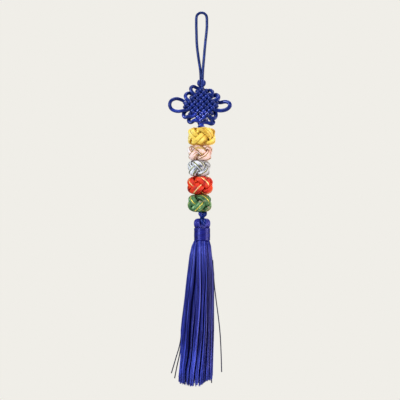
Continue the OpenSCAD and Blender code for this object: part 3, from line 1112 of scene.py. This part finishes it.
@dataclass
class FabricBall:
    """A ball of one fabric strand that passes over and under itself by turns."""

    colour: str
    # x and z of its middle, and its full width and height
    middle: Pair
    size: Pair
    # Longitude at which the strand starts, in degrees
    start: float
    finish: BrocadeFinish
    # Full width of the strand as a share of the ball's half width, and its thickness
    share: float = 0.7
    thick: float = 3.3
    # How many times the strand goes round the ball, and how many times up and down
    turns: int = 3
    waves: int = 4
    # How far up the strand's middle climbs, in degrees, and how far in and out it swings
    climb: float = 54.0
    swing: float = 1.45
    # How far below the ball's top the strand's middle stays
    below_top: float = 2.1
    # How much wider and thicker the strand is where it lies over, as shares
    swell: Pair = (0.07, 0.10)
    # Height of its creases and of the ridge along its middle
    crease: float = 0.16
    ridge: float = 0.16
    spacing: float = 0.4
    around: int = 36
    # Power of the form's outline: 2 is round
    fullness: float = 3.2
    # Depth of the valley along the strand's middle, where two strips lie side by side
    valley: float = 0.0
    # How far the padding lies inside the strand's middle, the radius of its flat ends, and how far
    # they lie past the ball's top and bottom
    pad_inside: float = 1.3
    pad_end: float = 4.2
    pad_past: float = 0.35

    def core(self) -> Pair:
        """Half width and half height of the ball that the strand's middle follows."""
        half = self.size[0] / 2 - self.thick / 2 - 0.55 * self.swing
        return half, (self.size[1] / 2 - self.below_top) / math.sin(math.radians(self.climb))

    def strand(self) -> tuple[Array, Array]:
        """The strand about the ball's middle.

        Its middle goes round, longitude turns * s, and up and down, latitude climb * cos(waves * s), on
        a ball of half sizes a and b. It stands out from that ball by a squared wave of
        sin(2 * waves * s), so it lies over at one crossing and under at the next. Its creases are
        slanting sines of the angle round it, which swell and fade along it, and a ridge or a valley
        runs along its middle. Then the whole is stretched to the ball's size and squared.

        Returns:
            Its surface and its tones. The tones carry painted shade: darkest where the strand faces
            inwards and along its valley, and lighter on the creases' crests.
        """
        a, b = self.core()
        s = np.linspace(0.0, FULL, 720, endpoint=False)
        latitude = math.radians(self.climb) * np.cos(self.waves * s)
        longitude = self.turns * s + math.radians(self.start)
        radius = a * np.cos(latitude)
        ball = np.stack([radius * np.cos(longitude), radius * np.sin(longitude), b * np.sin(latitude)], 1)
        scale = np.array([a * a, a * a, b * b])
        over = np.tanh(1.8 * np.sin(2 * self.waves * s)) / math.tanh(1.8)
        raised = ball + unit(ball / scale) * (self.swing * over)[:, None]
        line = smooth_line(np.column_stack([raised, over]), self.spacing, closed=True)
        path, over = line[:, :3], line[:, 3]
        side = unit(np.cross(path / scale, directions(path, True)))
        angle = round_turn(self.around)
        along = np.arange(len(path))[:, None] * self.spacing
        crease = self.crease * np.sin(2.0 * angle + 0.9 * np.sin(along * 0.33 + self.start))
        crease = crease * np.sin(along * 0.21 + 1.0)
        crease = crease + 0.10 * np.sin(5.0 * angle + 1.7 * np.sin(along * 0.5) + self.start)
        middle = wrapped(angle - FULL / 4)
        ridge = self.ridge * bell(middle, 0.1) - self.valley * bell(middle, 0.28)
        wide = self.share * min(self.size[0] / 2, 1.6 * b) * (1.0 + self.swell[0] * over)
        thick = self.thick * (1.0 + self.swell[1] * over)
        strand = tube(path, side, wide, thick, self.around, crease + ridge, closed=True, fullness=0.9)
        size = np.array([self.size[0], self.size[0], self.size[1]])
        strand = squared(strand * (size / np.ptp(strand, axis=(0, 1))), size / 2, self.fullness)
        # Painted shade: darker on the inward face and in the valley, lighter on the creases' crests
        tone = 0.55 + 0.45 * np.sin(angle) + 0.12 * crease / self.crease
        return strand, np.clip(tone - 0.9 * self.valley * bell(middle, 0.12), 0.0, 1.0)

    def padding(self) -> Array:
        """The plain ball inside the strand: full * cos wide and tall * sin high, cut flat at its ends.

        Returns:
            Its surface about the ball's middle.
        """
        full = self.core()[0] - self.pad_inside
        rise = np.linspace(-1.0, 1.0, 15) * math.acos(self.pad_end / full)
        tall = (self.size[1] / 2 + self.pad_past) / math.sin(rise[-1])
        outline = np.stack([full * np.cos(rise), full * np.cos(rise), tall * np.sin(rise)], 1)
        return turned(outline, round_turn(48), 1.0)

    def build(self) -> None:
        offset = np.array([self.middle[0], 0.0, self.middle[1]])
        maker = MeshMaker()
        strand, tone = self.strand()
        maker.grid(strand + offset, self.spacing, closed=True, tone=tone)
        # The padding's low tone paints it dark, as shade between the strands
        maker.grid(self.padding() + offset, 1.0, tone=0.1)
        fabric = self.finish.make(f"{self.colour}_brocade")
        piece = maker.piece(f"{self.colour}_knot_ball", fabric, [f"{self.colour}_ball"],
                            f"{self.colour}_fabric")


@dataclass
class CoreCords:
    """The two cord ends that run down inside the balls, side by side."""

    cord: Material
    diameter: float = 2.2
    # Half the gap between them
    half_gap: float = 0.05
    spacing: float = 0.8
    around: int = 14
    # x and z of their common middle
    route: tuple[Pair, ...] = (
        (-0.15, -116), (0, -123), (-1.3, -138), (-2.1, -154), (-1.5, -171), (-1.8, -188), (-1.5, -195),
        (-0.7, -197.4))

    def build(self) -> None:
        """Makes both ends as one piece."""
        maker = MeshMaker()
        for way in (-1.0, 1.0):
            apart = way * (self.diameter / 2 + self.half_gap)
            route = [(x + apart, 0.0, z) for x, z in self.route]
            maker.cord(route, self.spacing, (self.diameter, self.diameter), self.around)
        maker.piece("cord_ends", self.cord, ["core_cords"], "cord")


@dataclass
class TasselHead:
    """The threads folded over the tassel's top."""

    # Its rings and the points round it, and the number of thread ridges drawn on it
    grid: tuple[int, int] = (56, 384)
    ridges: int = 96
    # Depth of the hollows at its front and back, as a share of the radius, and how far round
    # from there they lie, in radians
    hollow: float = 0.26
    hollow_turn: float = 0.1
    # How far its top sinks, in mm, where the hollow is as deep as the second number
    hollow_drop: Pair = (2.2, 0.3)
    # Its outline: [height, radius]
    rows: tuple[Pair, ...] = (
        (-215.2, 6.7), (-214.2, 6.9), (-213.4, 7.3), (-212.2, 7.8), (-210.6, 8.1), (-208.6, 8.15),
        (-206.8, 7.7), (-205.4, 6.7), (-204.6, 5.5), (-204.4, 4.3), (-205.0, 3.2), (-206.2, 2.3),
        (-207.6, 1.6))

    def build(self) -> None:
        """Makes the folded threads.

        The outline runs from the neck out over the lobes and down into the hollow round the cord. The
        radius drops towards the front and back hollows, a bell round each, and fine ridges follow the
        threads from the neck to the middle.
        """
        rows = np.array(self.rows)
        knots = running(lengths(rows))
        rings, around = self.grid
        z, radius = through(knots, rows, np.linspace(0.0, knots[-1], rings)).T
        angles = round_turn(around)
        w = np.linspace(0.0, 1.0, len(z))[:, None]
        front = wrapped(angles + FULL / 4 - self.hollow_turn)
        back = wrapped(angles - FULL / 4 - self.hollow_turn)
        hollow = self.hollow * bell(front, 0.38, 4) + self.hollow * bell(back, 0.3)
        hollow = hollow + 0.24 * bell(front + 0.31, 0.09) + 0.2 * bell(front - 0.28, 0.09)
        hollow = hollow * eased(w, 0.0, 0.42) * (1.0 - 0.6 * eased(w, 0.75, 1.0))
        small = 0.035 * bell(wrapped(angles - 0.6), 0.10) + 0.03 * bell(wrapped(angles + 0.5), 0.08)
        ridges = 0.010 * np.sin(self.ridges * angles + 3.0 * w)
        ridges = ridges + 0.006 * np.sin(31 * angles + 2.0 * w + 1.0)
        share = 1.0 - hollow - small * eased(w, 0.1, 0.4) + ridges
        points = turned(np.stack([radius, radius * 0.98, z], 1), angles, share, TASSEL_X)
        drop, depth = self.hollow_drop
        points[..., 2] += -drop * hollow / depth * eased(w, 0.35, 0.8)
        # Painted shade: darker in the hollows and where the lobes meet the neck, lighter on the ridges'
        # crests
        tone = 0.66 - 0.8 * hollow + 8.0 * ridges - 0.4 * (1.0 - eased(w, 0.1, 0.3))
        maker = MeshMaker()
        maker.grid(points, 0.4, tone=np.clip(tone, 0.0, 1.0))
        silk = SilkFinish("folded_thread", main=(44, 43, 128), pale=(94, 92, 200), threads=192.0,
                          roughness=0.3)
        maker.piece("tassel_head", silk.make(), ["tassel_threads"], "tassel_silk")


@dataclass
class WoundNeck:
    """The thread wound round the tassel under its head, a sleeve with an outer and an inner side."""

    top: float = -213.9
    height: float = 12.6
    radius: float = 7.95
    inside: float = 7.15
    # Its rings and the points round it
    grid: tuple[int, int] = (150, 96)
    # Height of one turn of the winding thread, and how far it stands out
    pitch: float = 0.62
    relief: float = 0.09
    # How far its ends are rounded off, inwards and along it
    rounded: Pair = (0.35, 0.6)

    def build(self) -> None:
        """Makes the winding.

        The radius has one rounded ridge for each turn of the thread, and the turns climb a little as
        they go round: a small share of |sin(pi * (depth / pitch + angle / full turn))|.
        """
        rings, around = self.grid
        inwards, along = self.rounded
        z = np.linspace(self.top, self.top - self.height, rings)
        angles = round_turn(around)
        depth = (self.top - z)[:, None]
        ridge = self.relief * np.abs(np.sin(math.pi * (depth / self.pitch + angles / FULL)))
        ends = inwards * (1.0 - eased(depth, 0.0, along) * eased(self.height - depth, 0.0, along))
        swell = 0.05 * np.sin(depth * 0.9 + 1.0) + 0.06 * np.sin(2 * angles + depth * 0.25)
        radius = self.radius + ridge + swell - ends
        radius = np.pad(radius, ((1, 1), (0, 0)), constant_values=self.inside)
        tone = 0.5 + 0.25 * np.sin(depth * 2.1) * np.sin(angles * 3 + depth)
        heights = np.pad(z, 1, mode="edge")
        outline = np.column_stack([np.ones((len(heights), 2)), heights])
        points = turned(outline, angles, radius, TASSEL_X)
        maker = MeshMaker()
        tones = np.pad(tone, ((1, 1), (0, 0)), mode="edge")
        maker.grid(points[:, ::-1], 0.1, closed=True, tone=tones)
        silk = SilkFinish("wound_thread", main=(24, 27, 112), pale=(50, 58, 170))
        maker.piece("wound_neck", silk.make(), ["tassel_band"], "tassel_silk")


@dataclass(frozen=True)
class LockGap:
    """A gap between two locks of threads on the tassel's front."""

    # Depth as a share of the radius, half width in radians, and the height where it starts
    depth: float
    width: float
    start: float
    # The way it runs: [height, x]
    points: tuple[Pair, ...]


@dataclass
class Skirt:
    """The tassel's skirt: its loose threads, its core, and the threads that hang apart."""

    threads: int = 2200
    clumps: int = 180
    steps: int = 14
    seed: int = 7
    thread_radius: float = 0.29
    # Shares of the skirt's radius: how far a clump is rounded off at its sides, where the lowest
    # clump lies, and how far down from its clump's surface a thread may lie
    clump_round: float = 0.035
    clump_lowest: float = 0.94
    thread_below: float = 0.30
    # How uneven the tips are, in mm: of single threads, and of whole clumps
    tip_uneven: Pair = (1.3, 0.8)
    # How far a thread and its clump swing round, in radians
    sway: float = 0.016
    top: float = -224.0
    # The height at which a thread's angle is given, and the one at which its tip's x is read
    half_way: float = -300.0
    tip_level: float = -364.0
    # The skirt's outline: [height, middle, half width, half depth]
    outline: tuple[tuple[float, float, float, float], ...] = (
        (-224.0, 0.6, 6.6, 6.6), (-226.6, 0.6, 7.3, 7.3), (-228.6, 0.4, 8.5, 8.1), (-236, -0.7, 10.4, 9.6),
        (-246, -0.6, 12, 10.8), (-256, -0.6, 13.4, 11.8), (-271, -1.5, 14.4, 12.5), (-286, -2.3, 15.2, 13),
        (-301, -3.3, 16.2, 13.5), (-316, -4.1, 17.0, 14), (-331, -4.5, 16.9, 14), (-346, -4.8, 16.8, 14),
        (-360, -5.8, 17.4, 14.2), (-372, -6.4, 18.0, 14.2),
    )
    # Heights of the core's rings: from, to and how many
    core_rings: tuple[tuple[float, float, int], ...] = (
        (-223.0, -240.0, 8), (-246.0, -352.0, 20), (-360.0, -360.0, 1), (-364.5, -366.5, 2))
    # The core's share of the skirt's radius, its ridges, and how much of that radius is left further
    # down: [height, share]
    core_share: float = 0.84
    core_ridges: int = 36
    core_end: tuple[Pair, ...] = ((-352.0, 1.0), (-364.5, 0.8), (-366.5, 0.45))
    # Where the skirt's tips end across it: [x, height]
    tips: tuple[Pair, ...] = (
        (-24.1, -362.6), (-19.9, -368.5), (-14.7, -369.5), (-8.4, -370.4), (-5.5, -370.7), (1.4, -369.5),
        (6, -366.4), (11.1, -364.2), (14, -363))
    # Gaps between locks on the front, from left to right
    front_gaps: tuple[LockGap, ...] = (
        LockGap(0.08, 0.06, -246, (
            (-228, -6.5), (-236, -7.8), (-250, -9.5), (-286, -14.0), (-316, -17.2), (-336, -19.0),
            (-358, -21.5))),
        LockGap(0.16, 0.055, -226, (
            (-228, -5.2), (-253, -6.3), (-268, -7.1), (-286, -9.7), (-316, -11.9), (-335, -12.8),
            (-356, -16.3))),
        LockGap(0.14, 0.05, -280, (
            (-228, -3.0), (-253, -3.6), (-290, -6.0), (-324, -9.0), (-344, -10.4), (-360, -13.0))),
        LockGap(0.12, 0.05, -230, (
            (-228, -1.2), (-253, -0.6), (-270, 0.0), (-286, -0.2), (-316, -2.2), (-339, -4.3),
            (-364, -7.5))),
        LockGap(0.17, 0.055, -228, (
            (-228, 2.6), (-251, 4.0), (-276, 3.9), (-286, 3.1), (-316, 2.1), (-338, 0.4),
            (-364, -2.5))),
        LockGap(0.14, 0.05, -230, (
            (-228, 5.2), (-254, 6.4), (-276, 6.8), (-306, 6.9), (-326, 6.1), (-346, 5.2),
            (-364, 4.2))),
        LockGap(0.08, 0.06, -236, (
            (-228, 7.2), (-240, 9.0), (-271, 10.0), (-316, 9.6), (-346, 8.7), (-362, 8.0))),
    )
    # Number of gaps round the sides and the back, and their half width
    back_gaps: int = 11
    back_width: float = 0.06
    # Threads that hang apart from the skirt: points [x, depth, z]
    strays: tuple[Route, ...] = (
        ((11.2, -3, -246), (12.9, -3, -271.5), (15.0, -3, -289), (17.2, -3, -306), (18.6, -3, -320),
         (19.6, -3, -340), (20.1, -3, -357.8)),
        ((-19.5, -2, -316), (-21.8, -3, -330.7), (-25.8, -3, -344.5), (-30.1, -3, -358.9)),
        ((-20, 2, -320), (-21.5, 1, -338), (-24.4, 1, -351.5), (-26.9, 1, -364.4)),
        ((9.5, 2, -340), (10, 2, -356), (10.1, 2, -369.2)),
    )
    stray_size: Pair = (1.1, 0.9)

    def gaps(self, height: Array) -> tuple[Array, Array, Array]:
        """The gaps between locks, in order round the skirt from the left edge past the front.

        A gap of the front follows points [height, x], so its angle is the one whose cosine is the
        distance from the middle over the half width. The gaps of the sides and the back hang straight.

        Args:
            height: z of each point.

        Returns:
            For each gap its angle and its depth at those heights, and its half width in radians.
        """
        body = read_down(self.outline, height)
        angles, depths, widths = [], [], []
        for gap in self.front_gaps:
            x = read_down(gap.points, np.clip(height, gap.points[-1][0], gap.points[0][0]))[..., 0]
            angles.append(-np.arccos(np.clip((x - body[..., 0]) / body[..., 1], -0.98, 0.98)))
            depths.append(gap.depth * eased(-height, -gap.start, -gap.start + 35.0))
            widths.append(gap.width)
        for number in range(self.back_gaps):
            angles.append(math.radians(6.0 + 16.8 * number) + 0.03 * np.sin(height * 0.03 + number))
            depths.append((0.10 + 0.05 * math.sin(3.0 * number)) * eased(-height, 228.0, 275.0))
            widths.append(self.back_width)
        return np.array(angles), np.array(depths), np.array(widths)

    def groove(self, angle: Array, height: Array) -> Array:
        """Depth of the gaps between locks, as a share of the radius: the sum of a narrow bell at each.

        Args:
            angle: angle round the skirt.
            height: z at that angle, with as many axes as the angles need.

        Returns:
            The depth at each place.
        """
        angles, depths, widths = self.gaps(height)
        widths = widths.reshape(-1, *[1] * height.ndim)
        return (depths * bell(wrapped(angle - angles), widths)).sum(axis=0)

    def followed(self, angle: Array, height: Array, waver: Array) -> Array:
        """Leads threads along between the gaps on both sides of them, so none crosses a gap.

        A thread keeps its share of the way from one gap to the next. It wavers least beside a gap, and
        a gap pushes the threads on its two sides apart.

        Args:
            angle: each thread's angle half way down.
            height: z of each thread's points.
            waver: how far each point swings round, in radians.

        Returns:
            The angle of each point.
        """
        ends = joined(self.gaps(np.full((1, 1), self.half_way))[0][:, 0, 0], FULL)
        angles, depths, widths = self.gaps(height)
        angles, depths, widths = joined(angles, FULL), joined(depths), joined(widths)
        gap = np.searchsorted(ends, angle) - 1
        share = ((angle - ends[gap]) / (ends[gap + 1] - ends[gap]))[:, None]
        thread = np.arange(len(angle))
        low, high = angles[gap, thread], angles[gap + 1, thread]
        turn = low + (high - low) * share + waver * 4.0 * share * (1.0 - share)
        for side, place in ((1.0, gap), (-1.0, gap + 1)):
            push = bell(turn - angles[place, thread], 1.5 * widths[place][:, None])
            turn = turn + side * 0.4 * depths[place, thread] * push
        return turn

    def loose_threads(self) -> None:
        """Makes the loose threads.

        They hang in small clumps, each a rounded ridge with its own tone. A thread keeps its share of
        the radius, runs along between its two nearest gaps, and sinks in beside them. Slow sines make
        it waver, more so towards its tip, where the tones also part and grow paler.
        """
        rng = np.random.default_rng(self.seed)
        count = self.threads
        angle = rng.uniform(-math.pi, math.pi, count)
        place = (angle + math.pi) / FULL * self.clumps
        clump = place.astype(int) % self.clumps
        ridge = 1.0 - self.clump_round * (2.0 * (place - np.floor(place)) - 1.0) ** 2
        lift = rng.uniform(self.clump_lowest, 1.0, self.clumps)[clump]
        below = self.thread_below * rng.uniform(0.0, 1.0, count) ** 2.5
        share = (ridge * lift * (1.0 - below))[:, None]
        at_tip = read_down(self.outline, np.full(count, self.tip_level))
        tip_x = at_tip[:, 0] + at_tip[:, 1] * share[:, 0] * np.cos(angle)
        tip_z = np.interp(tip_x, *np.array(self.tips).T) + 0.4
        tip_z = tip_z + self.tip_uneven[0] * np.abs(rng.normal(0.0, 1.0, count))
        tip_z = tip_z + rng.normal(0.0, self.tip_uneven[1], self.clumps)[clump]
        share_down = np.linspace(0.0, 1.0, self.steps) ** 1.1
        z = self.top + (tip_z[:, None] - self.top) * share_down
        down, low = -z, eased(-z, 300.0, 360.0)
        often = rng.uniform(0.03, 0.09, (count, 1))
        waver = self.sway * np.sin(z * often + rng.uniform(0, FULL, (count, 1)))
        slow = self.sway * np.sin(z * 0.035 + rng.uniform(0, FULL, self.clumps)[clump][:, None])
        waver = (waver + slow * (1.0 + 1.5 * low)) * eased(down, 228.0, 260.0)
        turn = self.followed(angle, z, waver)
        radius = np.minimum(share * (1.0 - self.groove(turn, z)), 1.0)
        middle, half_wide, half_deep = np.moveaxis(read_down(self.outline, z), -1, 0)
        x = middle + half_wide * radius * np.cos(turn)
        y = half_deep * radius * np.sin(turn)
        uneven = rng.uniform(-0.32, 0.32, self.clumps)[clump] + rng.normal(0.0, 0.16, count)
        # The clumps' own tones differ at random. Painted shade darkens threads lying deeper; the top and
        # the tips are painted paler, as light.
        tone = 0.46 + uneven[:, None] * (1.0 + 1.5 * low) + 3.0 * (share - 0.97)
        tone = tone + 0.72 * eased(down, 318.0, 366.0) + 0.1 * (1.0 - eased(down, 230.0, 252.0)) - 0.01
        thin = np.linspace(1.0, 0.85, self.steps)
        thickness = self.thread_radius * rng.uniform(0.8, 1.15, (count, 1)) * thin
        maker = MeshMaker()
        maker.bundle(np.stack([x, y, z], -1), thickness, np.clip(tone, 0.0, 1.0),
                     rng.uniform(0, FULL, count))
        silk = SilkFinish("tassel_thread", pale=(84, 98, 214))
        maker.piece("skirt_threads", silk.make(), ["tassel_threads"], "tassel_silk")

    def core(self) -> None:
        """Makes the mass of threads behind the loose ones, painted darker as shade, with the same gaps in
        it.

        Its radius is a share of the skirt's, less the depth of the gaps, with fine upright ridges, and
        it draws in at the lower end.
        """
        z = np.concatenate([np.linspace(*row) for row in self.core_rings])
        angles = round_turn(144)
        body = read_down(self.outline, z)
        grooves = self.groove(angles, np.repeat(z[:, None], len(angles), axis=1))
        share = self.core_share - 0.9 * grooves + 0.012 * np.sin(self.core_ridges * angles)
        heights, left = np.array(self.core_end).T
        share = share * np.interp(-z, -heights, left)[:, None]
        outline = np.column_stack([body[:, 1:], z])
        maker = MeshMaker()
        # A low tone and a darker blue: painted shade on the threads inside
        maker.grid(turned(outline, angles, share, body[:, 0])[:, ::-1], 4.0, tone=0.12)
        silk = SilkFinish("inner_thread", main=(26, 24, 110), threads=300.0)
        maker.piece("skirt_core", silk.make(), ["tassel_threads"], "tassel_silk")

    def stray_threads(self) -> None:
        """Makes the few threads that hang apart."""
        maker = MeshMaker()
        for route in self.strays:
            maker.cord(route, 1.5, self.stray_size, 8)
        silk = SilkFinish("stray_thread", dark=(20, 20, 36), main=(36, 38, 56), pale=(62, 62, 88),
                          shine=(130, 130, 160))
        maker.piece("stray_threads", silk.make(), ["tassel_threads"], "tassel_silk")

    def build(self) -> None:
        """Makes every piece of the skirt."""
        for part in (self.core, self.loose_threads, self.stray_threads):
            part()


@dataclass(frozen=True)
class SoftLight:
    """A square soft light, which isn't seen itself."""

    name: str
    # Its place and its side are in metres
    place: Point
    watts: float
    side: float
    colour: Colour

    def add(self, aim: Array) -> None:
        """Adds the light to the scene.

        Args:
            aim: the point that it faces, in metres.
        """
        lamp = bpy.data.lights.new(self.name, "AREA")
        lamp.energy, lamp.size = self.watts, self.side
        lamp.color = linear(self.colour)[:3]
        item = placed(self.name, lamp)
        item.location = self.place
        x, y, z = aim - np.array(self.place)
        item.rotation_euler = (math.atan2(math.hypot(x, y), -z), 0.0, math.atan2(y, x) - FULL / 4)
        item.visible_camera = False


@dataclass
class Studio:
    """The floor, the lights and the camera."""

    # The camera's aim, the side of the square that it sees there, and how far off it stands, in mm
    middle: Point = (-1.5, 0.0, -186.0)
    frame: float = 400.0
    away: float = 1600.0
    # The backdrop is brighter than the room that lights the ornament
    backdrop: Colour = (240, 238, 232)
    room: Colour = (229, 230, 235)
    room_strength: float = 0.18
    # Radius of the floor and its height, in metres
    floor: Pair = (1.75, -1.2)
    lights: tuple[SoftLight, ...] = (
        SoftLight("window_left", (-0.88, -0.82, 0.12), 16.0, 0.26, (226, 236, 255)),
        SoftLight("window_right", (1.15, -0.35, -0.28), 13.5, 0.7, (255, 243, 248)),
        SoftLight("behind", (0.1, 0.95, 0.6), 11.0, 0.8, (255, 255, 255)),
        SoftLight("above", (0.1, -0.3, 0.85), 7.0, 0.5, (255, 255, 255)),
    )

    def surround(self) -> None:
        """Makes the pale backdrop and room, and the floor far below."""
        nodes = NodeSet(bpy.data.worlds.new("pale_room"))
        seen, dim = (
            nodes.node("ShaderNodeBackground", inputs={"Color": linear(colour), "Strength": strength})
            for colour, strength in ((self.backdrop, 1.0), (self.room, self.room_strength)))
        direct = nodes.node("ShaderNodeLightPath", output="Is Camera Ray")
        mixed = nodes.node("ShaderNodeMixShader", inputs={0: direct, 1: dim, 2: seen})
        nodes.node("ShaderNodeOutputWorld", inputs={"Surface": mixed})
        bpy.context.scene.world = nodes.owner
        radius, height = self.floor
        turn = round_turn(96)
        rim = np.stack([radius * np.cos(turn), radius * np.sin(turn), np.full(len(turn), height)], 1)
        floor = bpy.data.meshes.new("floor")
        floor.from_pydata(rim, [], [tuple(range(len(turn)))])
        floor.materials.append(FloorFinish().make())
        placed("floor", floor)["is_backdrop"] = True

    def build(self) -> None:
        """Makes the camera, the surroundings and the lights."""
        scene = bpy.context.scene
        camera = bpy.data.cameras.new("camera")
        camera.sensor_width = 36.0
        camera.lens = camera.sensor_width * self.away / self.frame
        view = placed("camera", camera)
        view.location = (self.middle[0] * MM, -self.away * MM, self.middle[2] * MM)
        view.rotation_euler = (FULL / 4, 0.0, 0.0)
        scene.camera = view
        scene.view_settings.view_transform = "Standard"
        self.surround()
        for light in self.lights:
            light.add(np.array(self.middle) * MM)


def small_knots(cord: Material) -> tuple[PairedKnot, PairedKnot]:
    """The two small knots.

    Args:
        cord: the cord's finish.

    Returns:
        The one that closes the loop, and the one between the balls and the tassel.
    """
    above = PairedKnot("round_knot", "top_knot", cord, (-0.05, 0.0, -69.6), (
        ((-0.7, 1.1, -64.7), (-0.7, 0.3, -66.5), (-0.8, -0.9, -68.6), (-1.0, -0.8, -71),
         (-1.1, -0.3, -73.9)),
        ((1.1, -1.1, -64.7), (0.9, -1.2, -66.5), (0.8, -1.5, -68.6), (0.8, -1.9, -71),
         (0.8, -2.4, -73.8))))
    below = PairedKnot("neck_knot", "lower_knot", cord, (1.0, 0.0, -200.2), (
        ((-0.5, 0, -197.4), (-0.2, -0.9, -199.5), (-0.2, -1.4, -202), (-0.3, -4.0, -204.3),
         (0.0, -6.3, -206.2), (0.9, -7.0, -208.3), (2.0, -6.2, -210.1), (2.5, -4.0, -210.9)),
        ((1.7, 0, -197.4), (1.8, -0.9, -199.5), (1.6, -1.0, -202), (1.9, -3.2, -204.4),
         (3.3, -5.2, -206.4), (4.0, -5.6, -208.4), (3.6, -3.6, -210.0))),
        spread=(2.2, 2.6, 0.6), rise=2.6, turn=12.0)
    return above, below


# The five balls from the top down. A finish's four first colours are its dark, main, pale and spot.
BALLS = (
    FabricBall(
        "yellow", (0.15, -122.45), (27.2, 17.0), -14.0, BrocadeFinish(
            (198, 148, 32), (250, 214, 86), (255, 234, 144), (244, 182, 70), spots=0.12,
            line=(190, 140, 36), line_shows=0.9, line_width=0.02, streaks=0.2),
        share=0.62, fullness=3.6, valley=0.75),
    FabricBall(
        "pink", (-1.4, -138.8), (24.0, 14.4), -50.0, BrocadeFinish(
            (210, 150, 106), (255, 217, 200), (255, 248, 240), (186, 148, 52), spots=0.45,
            line=(150, 114, 28), line_shows=0.8, line_width=0.038, line_off=0.16, streaks=0.5),
        fullness=3.4),
    FabricBall(
        "silver", (-2.4, -154.3), (22.4, 15.6), -45.0, BrocadeFinish(
            (50, 54, 80), (210, 210, 208), (255, 255, 252), (118, 92, 150), spots=0.22,
            line=(128, 128, 52), line_shows=0.75, line_width=0.035, line_off=0.1, patch=140.0,
            streaks=0.62),
        fullness=3.0),
    FabricBall(
        "red", (-1.4, -171.4), (25.0, 17.6), -20.0, BrocadeFinish(
            (150, 14, 2), (226, 47, 6), (250, 84, 16), (198, 28, 2), spots=0.2,
            line=(255, 214, 140), line_shows=0.8, line_width=0.02),
        fullness=2.8),
    FabricBall(
        "green", (-1.8, -189.2), (23.8, 17.0), -8.0, BrocadeFinish(
            (20, 50, 24), (74, 122, 68), (170, 208, 146), (150, 140, 108), spots=0.36,
            line=(236, 214, 76), line_shows=0.8, line_width=0.02, streaks=0.5),
        fullness=2.6),
)


def boxes(name: str, box: Any) -> dict[str, list[list[float]]]:
    """A box as plain lists of numbers, under its name."""
    return {name: [[float(v) for v in corner] for corner in box]}


def main() -> None:
    """Builds the studio, the cords, the balls and the tassel."""
    logging.basicConfig(level=logging.INFO, format="%(name)s: %(message)s")
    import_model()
    sizes = boxes("cad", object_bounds())
    Studio().build()
    # The loop's cord is a darker, duller blue than the knot's
    loop_cord = CordFinish("darker_loop_cord", main=(16, 38, 92), pale=(38, 58, 134), shine=(150, 166, 236))
    cord = CordFinish().make()
    above, below = small_knots(cord)
    knots = (HangingLoop(loop_cord.make()), above, EndlessKnot(cord))
    tassel = (TasselHead(), WoundNeck(), Skirt())
    for part in (*knots, *BALLS, CoreCords(cord), below, *tassel):
        part.build()
    sizes |= boxes("visual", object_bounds())


if __name__ == "__main__":
    main()
